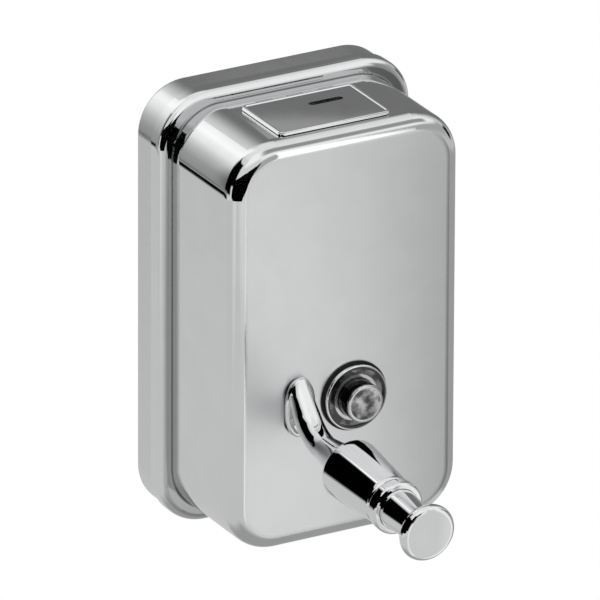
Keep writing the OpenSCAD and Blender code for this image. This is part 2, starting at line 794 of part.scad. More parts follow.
ring_lip_r = stem_root_r + 2 * run_gap;
ring_back = barrel_v - spigot_len + fit_gap;
ring_front = barrel_v + ring_len;
ring_round = 1.6;
under_sweep = 60;
stop_flange_r = sleeve_bore_r - 2 * run_gap;
stop_flange_t = 3;
stop_flange_v = barrel_v - run_gap;
rod_r = 3.5;
button_back = body_d + button_out - button_t;
button_v = body_d + button_out;
stem_spigot_r = 4;
stem_spigot = 3.5;
screw_r = 1.5;
screw_len = 10;
screw_head_r = 2.8;
screw_head_t = 1.6;

// Ring screwed over the barrel's end; its lip keeps the plunger in
module barrel_ring() color(chrome) at_barrel() rotate_extrude() polygon(concat(
    [[spigot_r + hinge_play, ring_back], [ring_r - ring_round / 2, ring_back]],
    arc([ring_r - ring_round, ring_back + ring_round], ring_round, -under_sweep, 0, 5),
    arc([ring_r - ring_round, ring_front - ring_round], ring_round, 0, 90, 6),
    [[ring_lip_r, ring_front], [ring_lip_r, barrel_v + fit_gap],
    [spigot_r + hinge_play, barrel_v + fit_gap]]));

module plunger_stem() color(chrome) at_barrel() difference() {
    rotate_extrude() polygon([[0, piston_back + piston_len], [rod_r, piston_back + piston_len],
        [rod_r, stop_flange_v - stop_flange_t], [stop_flange_r, stop_flange_v - stop_flange_t],
        [stop_flange_r, stop_flange_v], [stem_root_r, stop_flange_v], [stem_root_r, ring_front],
        [stem_tip_r, button_back], [stem_spigot_r, button_back],
        [stem_spigot_r, button_back + stem_spigot], [0, button_back + stem_spigot]]);
    rod(screw_r + hinge_play, piston_back, piston_back + screw_len + sheet);
}

seal_r = 1;
groove_gap = 0.1;
seal_mid_r = chamber_r - hinge_play - seal_r;
piston_r = chamber_r - 1.5 * run_gap;
groove_r = seal_mid_r - seal_r - hinge_play;
groove_v = piston_back + piston_len / 2;

module piston() color(plastic) at_barrel() difference() {
    rod(piston_r, piston_back, piston_back + piston_len);
    rod(screw_r + hinge_play, piston_back - sheet, piston_back + piston_len + sheet);
    rotate_extrude() translate([groove_r, groove_v - seal_r - groove_gap])
        square([chamber_r, 2 * (seal_r + groove_gap)]);
}

module piston_seal() color(rubber) at_barrel() translate([0, 0, groove_v])
    rotate_extrude() translate([seal_mid_r, 0]) circle(seal_r);

module piston_screw() color(steel) at_barrel() {
    rod(screw_head_r, piston_back - screw_head_t, piston_back);
    rod(screw_r, piston_back - screw_head_t / 2, piston_back + screw_len);
}

spring_r = 5.6;
wire_r = 0.55;
spring_turns = 6;
turn_rings = 16;
wire_sides = 6;
spring_from = chamber_back + wire_r + fit_gap;
spring_to = piston_back - wire_r - fit_gap;
rings = spring_turns * turn_rings;

// Points of the spring's wire, ring by ring along the helix
spring_points = [for (i = [0:rings], j = [0:wire_sides - 1])
    let (turn = 360 * i / turn_rings, side = 360 * j / wire_sides, r = spring_r + wire_r * cos(side))
    [r * cos(turn), r * sin(turn),
    spring_from + (spring_to - spring_from) * i / rings + wire_r * sin(side)]];
spring_faces = concat(
    [for (i = [0:rings - 1], j = [0:wire_sides - 1])
        let (a = i * wire_sides + j, b = i * wire_sides + (j + 1) % wire_sides)
        each [[a, a + wire_sides, b], [b, a + wire_sides, b + wire_sides]]],
    [for (j = [1:wire_sides - 2]) [0, j, j + 1]],
    [for (j = [1:wire_sides - 2]) let (e = rings * wire_sides) [e, e + j + 1, e + j]]);

module return_spring() color(steel) at_barrel() polyhedron(points = spring_points, faces = spring_faces);

button_round = 2.6;
button_under = 1.4;

// Mushroom button with a flat face
module push_button() color(pad_grey) at_barrel() difference() {
    rotate_extrude() polygon(concat([[0, button_back], [stem_tip_r + button_under, button_back]],
        arc([button_r - button_round, button_back + button_under + button_round], button_round,
            -under_sweep, 0, 6),
        arc([button_r - button_round, button_v - button_round], button_round, 0, 90, 8),
        [[0, button_v]]));
    rod(stem_spigot_r + hinge_play, button_back - sheet, button_back + stem_spigot + hinge_play);
}

front_shell();
back_pan();
hanger_strap();
wall_bracket();
filler_collar();
hinge_leaf();
hinge_pin();
lid_plate();
lid_gasket();
latch_guide();
latch_bolt();
window_gasket();
window_bezel();
window_lens();
lens_seal();
window_washer();
window_nut();
valve_gasket();
valve_arm();
shank_washer();
shank_nut();
intake_elbow();
dip_tube();
check_ball();
ball_stop_pin();
barrel_ring();
outlet_insert();
outlet_valve();
plunger_stem();
piston();
piston_seal();
piston_screw();
return_spring();
push_button();
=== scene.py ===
import json
import math

import bpy
from mathutils import Matrix, Vector

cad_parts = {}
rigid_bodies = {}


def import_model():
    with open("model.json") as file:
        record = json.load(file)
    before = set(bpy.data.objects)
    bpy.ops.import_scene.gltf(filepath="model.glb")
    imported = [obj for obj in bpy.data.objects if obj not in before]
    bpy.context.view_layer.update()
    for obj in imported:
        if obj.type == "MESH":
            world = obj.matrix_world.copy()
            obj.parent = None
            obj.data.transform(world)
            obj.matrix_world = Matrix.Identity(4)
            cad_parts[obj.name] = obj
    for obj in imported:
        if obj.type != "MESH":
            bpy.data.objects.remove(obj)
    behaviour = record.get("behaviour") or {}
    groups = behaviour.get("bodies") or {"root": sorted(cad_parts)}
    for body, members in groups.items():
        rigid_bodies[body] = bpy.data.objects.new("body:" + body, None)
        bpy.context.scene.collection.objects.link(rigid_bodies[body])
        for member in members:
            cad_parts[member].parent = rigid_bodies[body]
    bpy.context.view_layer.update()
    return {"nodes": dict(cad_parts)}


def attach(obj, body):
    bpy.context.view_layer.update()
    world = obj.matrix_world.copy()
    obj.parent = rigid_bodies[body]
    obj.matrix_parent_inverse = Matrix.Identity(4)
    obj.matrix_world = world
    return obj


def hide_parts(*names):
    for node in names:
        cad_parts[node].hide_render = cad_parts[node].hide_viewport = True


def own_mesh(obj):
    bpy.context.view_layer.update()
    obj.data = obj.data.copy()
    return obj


for leftover in list(bpy.data.objects):
    bpy.data.objects.remove(leftover)
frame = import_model()
nodes = frame["nodes"]
scene = bpy.context.scene
scene.view_settings.view_transform = "Standard"


# Node trees

def plug(node, inputs):
    """Sets inputs of a node to numbers or colours, or links them to other nodes' outputs."""
    for socket, source in inputs.items():
        if isinstance(source, bpy.types.NodeSocket):
            node.id_data.links.new(source, node.inputs[socket])
        else:
            node.inputs[socket].default_value = source


def add(tree, kind, inputs=None, **settings):
    """Adds a node with its settings and inputs."""
    node = tree.nodes.new(kind)
    for key, value in settings.items():
        setattr(node, key, value)
    plug(node, inputs or {})
    return node


def calc(tree, operation, *values):
    return add(tree, "ShaderNodeMath", dict(enumerate(values)), operation=operation).outputs[0]


def remap(tree, value, low, high, to_low=0.0, to_high=1.0, smooth=False):
    """Turns low to high into to_low to to_high, and stays level beyond them."""
    limits = {"From Min": low, "From Max": high, "To Min": to_low, "To Max": to_high}
    kind = "SMOOTHSTEP" if smooth else "LINEAR"
    return add(tree, "ShaderNodeMapRange", {"Value": value, **limits}, interpolation_type=kind).outputs[0]


def ramp(tree, value, stops):
    """Colours along a value; stops are (place, colour) in order."""
    stops = list(stops)
    node = add(tree, "ShaderNodeValToRGB", {"Fac": value})
    elements = node.color_ramp.elements
    while len(elements) < len(stops):
        elements.new(0.5)
    for element, (place, colour) in zip(elements, stops):
        element.position = place
        element.color = (*colour, 1)
    return node.outputs[0]


# Places of the two colours among the Mix node's inputs, and of their mix among its outputs
MIX_BELOW, MIX_ABOVE, MIX_RESULT = 6, 7, 2


def mix(tree, share, below, above):
    """Colour below where the share is 0, and above where it is 1."""
    inputs = {0: share, MIX_BELOW: below, MIX_ABOVE: above}
    return add(tree, "ShaderNodeMix", inputs, data_type="RGBA").outputs[MIX_RESULT]


def noise(tree, scale, detail):
    """Noise in object coordinates, with a scale for each axis."""
    coords = add(tree, "ShaderNodeTexCoord").outputs["Object"]
    stretched = add(tree, "ShaderNodeMapping", {"Vector": coords, "Scale": scale}).outputs[0]
    return add(tree, "ShaderNodeTexNoise", {"Vector": stretched, "Scale": 1.0, "Detail": detail}).outputs[0]


def along_y(tree):
    """Object's y, which is the distance from the wall with a minus sign."""
    coords = add(tree, "ShaderNodeTexCoord").outputs["Object"]
    return add(tree, "ShaderNodeSeparateXYZ", {0: coords}).outputs[1]


def from_axis(tree, x, z):
    """Distance from an axis that runs square to the wall at x, z."""
    coords = add(tree, "ShaderNodeTexCoord").outputs["Object"]
    away = add(tree, "ShaderNodeVectorMath", {0: coords, 1: (x, 0, z)}, operation="SUBTRACT").outputs[0]
    flat = add(tree, "ShaderNodeVectorMath", {0: away, 1: (1, 0, 1)}, operation="MULTIPLY").outputs[0]
    return add(tree, "ShaderNodeVectorMath", {0: flat}, operation="LENGTH").outputs["Value"]


def bump(tree, height, strength, depth, **under):
    """Relief from a height, on top of another one that is given as Normal."""
    inputs = {"Height": height, "Strength": strength, "Distance": depth, **under}
    return add(tree, "ShaderNodeBump", inputs).outputs[0]


def empty_material(name):
    mat = bpy.data.materials.new(name)
    mat.use_nodes = True
    mat.node_tree.nodes.clear()
    return mat, mat.node_tree


def surface(name):
    """Material with nothing but its Principled shader."""
    mat, tree = empty_material(name)
    shader = add(tree, "ShaderNodeBsdfPrincipled")
    add(tree, "ShaderNodeOutputMaterial", {0: shader.outputs[0]})
    return mat, tree, shader


def grey(tone):
    return tone, tone, tone


# Materials, with lengths in m

# Metal: scale and detail of its clouds and waves, and its polishing marks
CLOUDS, CLOUD_PLACES, CLOUDED = ((60, 60, 60), 5.0), (0.35, 0.65), 0.97
WAVES, WAVE_DEPTH = ((28, 28, 28), 1.0), 0.001
EVEN_MARKS, MARK_DETAIL, MARK_BUMP, MARK_DEPTH = (900, 900, 900), 3.0, 0.01, 0.0002
GLOSS_FROM, GLOSS_TO = 0.1, 0.45
# Front face: roughness, and the distances from the wall between which its softer polish sets in
SATIN = (0.38, 0.0818, 0.082)
# Painted shade in the step behind the front: distance from the wall, half width, share and colour
GROOVE, GROOVE_HALF, STEP_SHADE_SHARE, STEP_SHADE_COLOUR = 0.0256, 0.0014, 0.8, (0.06, 0.06, 0.06, 1)
# Sight glass: its axis as x and z, and the radii between which the painted shade inside the bezel ends
WINDOW_AXIS = (0.0035, -0.0305)
HOLLOW, HOLLOW_SHADE_COLOUR = (0.0149, 0.0151), (0.07, 0.07, 0.075, 1)


def metal(name, colour, rough, wave, grain=EVEN_MARKS, spread=0.6, satin=False, step_shade=False, hollow_shade=False):
    """Polished or plain metal: cloudy gloss, fine polishing marks and a slight waviness of the sheet, with
    painted shade in the step or inside the bezel where asked.
    """
    mat, tree, shader = surface(name)
    clouds, marks = noise(tree, *CLOUDS), noise(tree, grain, MARK_DETAIL)
    gloss = remap(tree, calc(tree, "MULTIPLY", clouds, marks), GLOSS_FROM, GLOSS_TO,
                  rough * (1 - spread), rough * (1 + spread))
    if satin:
        rough_face, nearest, farthest = SATIN
        facing = remap(tree, along_y(tree), -nearest, -farthest, 0.0, rough_face, smooth=True)
        gloss = calc(tree, "MAXIMUM", gloss, facing)
    shade = ramp(tree, clouds, zip(CLOUD_PLACES, ([c * CLOUDED for c in colour], colour)))
    # Painted shade: the colour darkens towards dark grey along the step, where shade falls in the crease
    if step_shade:
        off = calc(tree, "ABSOLUTE", calc(tree, "ADD", along_y(tree), GROOVE))
        shade = mix(tree, remap(tree, off, 0.0, GROOVE_HALF, STEP_SHADE_SHARE, 0.0, smooth=True), shade, STEP_SHADE_COLOUR)
    # Painted shade: dark inside the bezel's hollow, out to the given radii from the sight glass's axis
    if hollow_shade:
        shade = mix(tree, remap(tree, from_axis(tree, *WINDOW_AXIS), *HOLLOW), HOLLOW_SHADE_COLOUR, shade)
    wavy = bump(tree, noise(tree, *WAVES), wave, WAVE_DEPTH)
    fine = bump(tree, marks, MARK_BUMP, MARK_DEPTH, Normal=wavy)
    plug(shader, {"Metallic": 1.0, "Roughness": gloss, "Base Color": shade, "Normal": fine})
    return mat


# Grain of rubber and plastic: detail, where its two tones lie, spread of the gloss, and depth
GRAIN_DETAIL, GRAIN_PLACES, GRAIN_GLOSS, GRAIN_DEPTH = 6.0, (0.3, 0.7), (0.8, 1.2), 0.0002


def matte(name, dark, light, rough, scale, pitting, shine=0.5):
    """Rubber or moulded plastic: two close tones in a fine grain, with the same grain as bump."""
    mat, tree, shader = surface(name)
    grain = noise(tree, (scale, scale, scale), GRAIN_DETAIL)
    plug(shader, {
        "Base Color": ramp(tree, grain, zip(GRAIN_PLACES, (dark, light))),
        "Roughness": remap(tree, grain, 0.0, 1.0, *[rough * share for share in GRAIN_GLOSS]),
        "Specular IOR Level": shine,
        "Normal": bump(tree, grain, pitting, GRAIN_DEPTH)})
    return mat


# Lens from its middle outwards: radius, tone of the rings, and the share of the mottled face over them. The
# bright rings at the plug's rim and root are painted highlights, the black ring on its side is painted shade,
# and the dark outer ring is partly the dark inside seen through the plastic and partly painted shade under the
# bezel
LENS_R = 0.016
LENS_PAINTED_RINGS = [
    (0.0, 0.5, 0.9), (0.0074, 0.5, 0.9),
    (0.0078, 0.95, 0.0), (0.0089, 0.95, 0.0),
    (0.0092, 0.02, 0.0), (0.0095, 0.02, 0.0),
    (0.0097, 0.95, 0.0), (0.0109, 0.95, 0.0),
    (0.0113, 0.10, 0.45), (LENS_R, 0.10, 0.45),
]
# Mottled face, which is painted reflection of the inside of the clear plastic, and flow marks: scale and
# detail, then colours or haze and relief
MOTTLES, MOTTLE_COLOURS = ((150, 150, 150), 3.0), [(0.42, (0.05, 0.05, 0.052)), (0.62, (0.80, 0.805, 0.81))]
FLOW, FLOW_BUMP, FLOW_DEPTH, HAZE = ((120, 120, 120), 2.0), 0.08, 0.0005, (0.02, 0.08)
CLEARNESS, SILVERING, PLASTIC_IOR = 0.8, 0.55, 1.49


def clear_plastic(name):
    """Clear moulded plastic with faint haze and flow marks, silvered behind its plug; its colour has painted
    highlights and painted shade in rings round the plug, a mottle of painted reflection, and a dark outer ring
    that is partly the dark inside seen through it and partly painted shade.
    """
    mat, tree, shader = surface(name)
    mottled = ramp(tree, noise(tree, *MOTTLES), MOTTLE_COLOURS)
    place = remap(tree, from_axis(tree, *WINDOW_AXIS), 0.0, LENS_R)
    # Painted highlights and painted shade in rings round the plug, by distance from its axis
    rings = ramp(tree, place, [(radius / LENS_R, grey(tone)) for radius, tone, share in LENS_PAINTED_RINGS])
    shares = ramp(tree, place, [(radius / LENS_R, grey(share)) for radius, tone, share in LENS_PAINTED_RINGS])
    flow = noise(tree, *FLOW)
    plug(shader, {
        "Transmission Weight": CLEARNESS, "Metallic": SILVERING, "IOR": PLASTIC_IOR,
        "Base Color": mix(tree, shares, rings, mottled),
        "Roughness": remap(tree, flow, 0.0, 1.0, *HAZE),
        "Normal": bump(tree, flow, FLOW_BUMP, FLOW_DEPTH)})
    return mat


# Metals: colour, roughness, waviness, polishing marks along each axis, and the spread of the gloss
looks = {
    # The shell's metal has painted shade in the step
    "polished_shell": metal("polished_shell", (0.84, 0.845, 0.85), 0.05, 0.02, (1200, 1200, 160),
                            satin=True, step_shade=True),
    "polished_pan": metal("polished_pan", (0.80, 0.805, 0.81), 0.2, 0.02, (1200, 160, 1200), 0.2),
    "polished_valve": metal("polished_valve", (0.86, 0.865, 0.87), 0.03, 0.01),
    # The bezel's metal has painted shade inside the bezel
    "polished_bezel_painted_shade": metal("polished_bezel_painted_shade", (0.86, 0.865, 0.87), 0.03, 0.01, hollow_shade=True),
    "plain_steel": metal("plain_steel", (0.56, 0.57, 0.58), 0.28, 0.05, (1500, 1500, 120)),
    "black_oxide": metal("black_oxide", (0.035, 0.036, 0.038), 0.35, 0.05, (1500, 1500, 120)),
    "brass": metal("brass", (0.72, 0.53, 0.25), 0.25, 0.05),
    "rubber": matte("rubber", (0.008, 0.008, 0.009), (0.02, 0.02, 0.021), 0.55, 900, 0.2, shine=0.12),
    "plastic": matte("plastic", (0.74, 0.74, 0.71), (0.80, 0.80, 0.77), 0.4, 500, 0.08),
    "clear_plastic": clear_plastic("clear_plastic"),
}
for node in nodes.values():
    given = node.data.materials[0]
    node.data.materials[0] = looks[given.name.split(".")[0]]
nodes["window_bezel"].data.materials[0] = looks["polished_bezel_painted_shade"]
nodes["latch_bolt"].data.materials[0] = looks["black_oxide"]


# Meshes

def in_metres(x, v, z):
    """Point from mm to the right, out from the wall and up."""
    return x / 1000, -v / 1000, z / 1000


def tube(rings, sides, first=0, closed=False):
    """Faces from each ring of points to the next, with both ends capped or joined to each other."""
    faces = []
    for k in range(rings if closed else rings - 1):
        a, b = first + k * sides, first + (k + 1) % rings * sides
        for i in range(sides):
            j = (i + 1) % sides
            faces.append((a + i, a + j, b + j, b + i))
    if not closed:
        last = first + (rings - 1) * sides
        faces.append(tuple(reversed(range(first, first + sides))))
        faces.append(tuple(range(last, last + sides)))
    return faces


def new_object(name, verts, faces, mat):
    mesh = bpy.data.meshes.new(name)
    mesh.from_pydata(verts, [], faces)
    mesh.materials.append(mat)
    obj = bpy.data.objects.new(name, mesh)
    scene.collection.objects.link(obj)
    return obj


# Valve casting: oval flange, swan neck, barrel and shank, from the source's sizes in mm

VALVE_X, VALVE_Z, BARREL_Z = -25.0, -30.0, -42.5
SIDES = 96
# Flange: outline, and its edge from the seat upwards as (inset, height), round and then dished to the neck
SEAT, FLANGE_T, FLANGE_HALF, OVAL_POWER = 82.8, 2.4, (7.7, 14.3), 0.9
FLANGE_FOOT = [(0.4, 0), (0, 0.4), (0, 0.9)]
ROUND_FROM, ROUND_IN, ROUND_UP, ROUND_STEPS = 0.9, 1.3, 1.5, 9
FLANGE_DISH = [(1.7, 2.35), (2.1, 2.1), (2.6, 1.9), (3.4, 1.8), (4.6, 1.9), (6.2, 2.2)]
SHANK_END, SHANK_R, SHANK_BORE, SHANK_CHAMFER = 66.0, 6.0, 2.6, 0.4
# Neck: slope, start above the flange's middle, bend and radii, and the fillet at its root in the flange
NECK_ANGLE, NECK_RISE, NECK_BEND, NECK_ROOT_R, NECK_R = math.radians(52), 7.5, 24.0, 4.5, 6.2
ROOT_SINK, ROOT_FILLET, ROOT_FADE = 0.6, 0.7, 1.2
# Barrel: swells from the neck to a round shoulder, and tapers to the tip, mouth, socket and bore
SHOULDER, SHOULDER_R, RIM, RIM_FROM, TIP_R, TIP, TILT = 131.5, 14.75, 1.2, -85, 11.8, 168.3, math.radians(3)
SWELL_EVEN, SWELL_ROUND = 0.35, 0.65
MOUTH_R, MOUTH_END, SOCKET_R, SOCKET_END, BORE_R, BORE_END = 11.2, 171.4, 10.7, 156.5, 7.6, 130.6
NECK_STEPS, SQUARE_STEPS, BEND_STEPS, SWELL_STEPS, RIM_STEPS, TAPER_STEPS = 24, 16, 36, 40, 12, 12


def section(v, z, radius, slope=0.0, cut=0.0):
    """Loop round a tube that slopes down by slope, cut by a plane at its own slope."""
    long = radius / math.cos(slope - cut)
    turns = [2 * math.pi * i / SIDES for i in range(SIDES)]
    return [(VALVE_X + radius * math.cos(t), v + long * math.sin(t) * math.sin(cut),
             z + long * math.sin(t) * math.cos(cut)) for t in turns]


def oval(inset, v):
    """Loop of the flange's outline, drawn in by inset."""
    half_x, half_z = FLANGE_HALF[0] - inset, FLANGE_HALF[1] - inset
    loop = []
    for i in range(SIDES):
        c, s = math.cos(2 * math.pi * i / SIDES), math.sin(2 * math.pi * i / SIDES)
        loop.append((VALVE_X + half_x * math.copysign(abs(c) ** OVAL_POWER, c), v,
                     VALVE_Z + half_z * math.copysign(abs(s) ** OVAL_POWER, s)))
    return loop


def on_axis(place):
    """Distance from the wall and height of a place along the barrel's axis."""
    return SHOULDER + (place - SHOULDER) * math.cos(TILT), BARREL_Z - (place - SHOULDER) * math.sin(TILT)


def neck_and_barrel():
    """Loops from the neck's root to the bottom of the barrel's bore."""
    reach = SHOULDER - SEAT + NECK_BEND * (math.sin(TILT) - math.sin(NECK_ANGLE))
    fall = VALVE_Z + NECK_RISE - BARREL_Z - NECK_BEND * (math.cos(TILT) - math.cos(NECK_ANGLE))
    straight = (fall * math.cos(TILT) - reach * math.sin(TILT)) / math.sin(NECK_ANGLE - TILT)
    bend_end = SHOULDER - (reach - straight * math.cos(NECK_ANGLE)) / math.cos(TILT)
    end_v, end_z = on_axis(bend_end)

    loops = []
    start = (FLANGE_T - ROOT_SINK) / math.cos(NECK_ANGLE)
    for i in range(NECK_STEPS + 1):
        along = start + (straight - start) * i / NECK_STEPS
        v, z = SEAT + along * math.cos(NECK_ANGLE), VALVE_Z + NECK_RISE - along * math.sin(NECK_ANGLE)
        radius = NECK_ROOT_R + (NECK_R - NECK_ROOT_R) * (NECK_RISE + along) / (NECK_RISE + straight)
        radius += ROOT_FILLET * math.exp(-(along - start) / ROOT_FADE)
        loops.append(section(v, z, radius, NECK_ANGLE, NECK_ANGLE * min(1, i / SQUARE_STEPS)))
    for i in range(1, BEND_STEPS):
        turn = NECK_ANGLE + (TILT - NECK_ANGLE) * i / BEND_STEPS
        loops.append(section(end_v + NECK_BEND * (math.sin(TILT) - math.sin(turn)),
                             end_z + NECK_BEND * (math.cos(TILT) - math.cos(turn)), NECK_R, turn, turn))

    barrel = [(NECK_R, bend_end)]
    for i in range(1, SWELL_STEPS + 1):
        t = math.sin(math.pi / 2 * i / SWELL_STEPS)
        opened = SWELL_EVEN * t + SWELL_ROUND * (1 - math.sqrt(1 - t * t))
        barrel.append((NECK_R + (SHOULDER_R - RIM - NECK_R) * opened,
                       bend_end + (SHOULDER - RIM - bend_end) * t))
    for i in range(1, RIM_STEPS + 1):
        turn = math.radians(RIM_FROM - RIM_FROM * i / RIM_STEPS)
        barrel.append((SHOULDER_R - RIM + RIM * math.cos(turn), SHOULDER + RIM * math.sin(turn)))
    for i in range(1, TAPER_STEPS + 1):
        barrel.append((SHOULDER_R + (TIP_R - SHOULDER_R) * i / TAPER_STEPS,
                       SHOULDER + (TIP - SHOULDER) * i / TAPER_STEPS))
    barrel += [(MOUTH_R, TIP), (MOUTH_R, MOUTH_END), (SOCKET_R, MOUTH_END), (SOCKET_R, SOCKET_END),
               (BORE_R, SOCKET_END), (BORE_R, BORE_END)]
    return loops + [section(*on_axis(place), radius, TILT, TILT) for radius, place in barrel]


def valve_casting():
    """Three closed skins that overlap: neck with barrel, flange and shank."""
    turns = [math.radians(90 * i / ROUND_STEPS) for i in range(ROUND_STEPS + 1)]
    rounded = [(ROUND_IN * (1.0 - math.cos(a)), SEAT + ROUND_FROM + ROUND_UP * math.sin(a)) for a in turns]
    foot = [(inset, SEAT + height) for inset, height in FLANGE_FOOT]
    dish = [(inset, SEAT + height) for inset, height in FLANGE_DISH]
    shank = [(SHANK_BORE, SEAT), (SHANK_BORE, SHANK_END), (SHANK_R - SHANK_CHAMFER, SHANK_END),
             (SHANK_R, SHANK_END + SHANK_CHAMFER), (SHANK_R, SEAT)]
    verts, faces = [], []
    for loops in (neck_and_barrel(),
                  [oval(inset, v) for inset, v in foot + rounded + dish],
                  [section(v, VALVE_Z, radius) for radius, v in shank]):
        faces += tube(len(loops), SIDES, first=len(verts))
        verts += [in_metres(*point) for loop in loops for point in loop]
    obj = new_object("valve_casting", verts, faces, looks["polished_valve"])
    obj.data.shade_smooth()
    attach(obj, "dispenser")
    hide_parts("valve_arm")


valve_casting()


# Return spring, in mm

COIL_R, WIRE_R, COIL_TURNS, COIL_FROM, COIL_TO = 5.6, 0.55, 6, 131.15, 147.85
TURN_STEPS, WIRE_SIDES = 24, 8
CHAMBER_BACK, SPRING_ROOM, STROKE = 130.5, 18.0, 10.0


def spring_coil():
    steps = TURN_STEPS * COIL_TURNS
    verts = []
    for i in range(steps + 1):
        turn = 2 * math.pi * COIL_TURNS * i / steps
        for j in range(WIRE_SIDES):
            side = 2 * math.pi * j / WIRE_SIDES
            reach = COIL_R + WIRE_R * math.cos(side)
            v, z = on_axis(COIL_FROM + (COIL_TO - COIL_FROM) * i / steps + WIRE_R * math.sin(side))
            rise = reach * math.sin(turn)
            verts.append(in_metres(VALVE_X + reach * math.cos(turn), v + rise * math.sin(TILT),
                                   z + rise * math.cos(TILT)))
    obj = new_object("spring_coil", verts, tube(steps + 1, WIRE_SIDES), looks["plain_steel"])
    obj.data.shade_smooth()
    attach(obj, "dispenser")
    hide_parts("return_spring")
    v, z = on_axis(CHAMBER_BACK)
    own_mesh(obj)


spring_coil()


# Turned bead along the lid's edges, in mm

LID_X, LID_V, LID_TOP = -2.0, 55.75, 101.0
BEAD_HALF, BEAD_CORNER, BEAD_R, BEAD_RISE, BEAD_DIP = (27.7, 17.95), 1.7, 0.75, 0.45, 0.3
CORNERS, CORNER_STEPS, BEAD_SIDES = ((1, 1), (-1, 1), (-1, -1), (1, -1)), 8, 12


def lid_bead():
    verts = []
    for turn, (to_x, to_v) in enumerate(CORNERS):
        x = LID_X + to_x * (BEAD_HALF[0] - BEAD_CORNER)
        v = LID_V + to_v * (BEAD_HALF[1] - BEAD_CORNER)
        for step in range(CORNER_STEPS + 1):
            way = math.radians(90 * turn + 90 * step / CORNER_STEPS)
            for i in range(BEAD_SIDES):
                a = 2 * math.pi * i / BEAD_SIDES
                reach = BEAD_CORNER + BEAD_R * math.cos(a)
                rise = (BEAD_RISE if i <= BEAD_SIDES // 2 else BEAD_DIP) * math.sin(a)
                verts.append(in_metres(x + math.cos(way) * reach, v + math.sin(way) * reach, LID_TOP + rise))
    faces = tube(len(verts) // BEAD_SIDES, BEAD_SIDES, closed=True)
    obj = new_object("lid_bead", verts, faces, looks["polished_shell"])
    obj.data.shade_smooth()
    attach(obj, "lid")


lid_bead()


# Camera, fitted to the photograph

AZ, EL, REACH, ROLL = math.radians(-29.14), math.radians(23.06), 6.801, 0.0045
OFF_RIGHT, OFF_UP = -0.02120, 0.01548
SENSOR, FOCAL, FAR = 36, 905, 50
TANK_FRONT = Vector((0, -0.082, 0))
back = Vector((math.sin(AZ) * math.cos(EL), -math.cos(AZ) * math.cos(EL), math.sin(EL)))
right = Vector((math.cos(AZ), math.sin(AZ), 0))
up = back.cross(right)
eye = TANK_FRONT + back * REACH + right * OFF_RIGHT + up * OFF_UP
right, up = right * math.cos(ROLL) + up * math.sin(ROLL), up * math.cos(ROLL) - right * math.sin(ROLL)
camera = bpy.data.objects.new("camera", bpy.data.cameras.new("camera"))
scene.collection.objects.link(camera)
camera.data.sensor_width = SENSOR
camera.data.lens = FOCAL
camera.data.clip_end = FAR
camera.matrix_world = Matrix.Translation(eye) @ Matrix((right, up, back)).transposed().to_4x4()
scene.camera = camera


# Stage

def glow(name, colour):
    """Stage material: lit from within for camera, mirror and glass rays, plain matt for the rest."""
    mat, tree = empty_material(name)
    rays = add(tree, "ShaderNodeLightPath").outputs
    mirrored = calc(tree, "MAXIMUM", rays["Is Glossy Ray"], rays["Is Transmission Ray"])
    seen = calc(tree, "MAXIMUM", mirrored, rays["Is Camera Ray"])
    plain = add(tree, "ShaderNodeBsdfDiffuse", {"Color": (*colour, 1)}).outputs[0]
    lit = add(tree, "ShaderNodeEmission", {"Color": (*colour, 1)}).outputs[0]
    pick = add(tree, "ShaderNodeMixShader", {0: seen, 1: plain, 2: lit}).outputs[0]
    add(tree, "ShaderNodeOutputMaterial", {0: pick})
    return mat


def panel(name, half_x, half_y, z, mat):
    """Flat stage panel that faces up before it is turned."""
    corners = [(-half_x, -half_y, z), (half_x, -half_y, z), (half_x, half_y, z), (-half_x, half_y, z)]
    obj = new_object(name, corners, [(0, 1, 2, 3)], mat)
    return obj


FLOOR_HALF, FLOOR_Z = 1.5, -0.9
panel("floor", FLOOR_HALF, FLOOR_HALF, FLOOR_Z, glow("floor_white", (1, 1, 1)))

# Screens of the studio that the metal mirrors, each laid over those before it: tone, azimuth from the rear
# towards the left, elevation, and the softness of the edges both ways, in degrees
BARE_TONE = 0.72
SCREENS = [
    (0.85, (-400, 400), (60, 120), 1, 9),
    (0.42, (-400, -90), (-10, 22), 8, 6),
    (0.95, (-400, -95), (24, 60), 10, 6),
    (1.0, (120, 400), (38, 72), 8, 6),
    (0.18, (-75, -8), (-16, 52), 16, 8),
    (0.58, (-180, 180), (-120, -19), 1, 0.8),
    (0.74, (108, 400), (-62, -19), 10, 1),
    (0.74, (-400, -150), (-62, -19), 10, 8),
    (0.55, (-140, -62), (-120, -2), 14, 8),
    (0.0, (-96, -78), (-7, 9), 3, 3),
    (0.0, (22, 85), (-14, 46), 3, 2),
    (0.0, (80, 104), (3, 46), 3, 2),
    (0.20, (10, 60), (-15, -11), 8, 1),
    (0.0, (10, 60), (-19, -15.5), 6, 0.8),
]


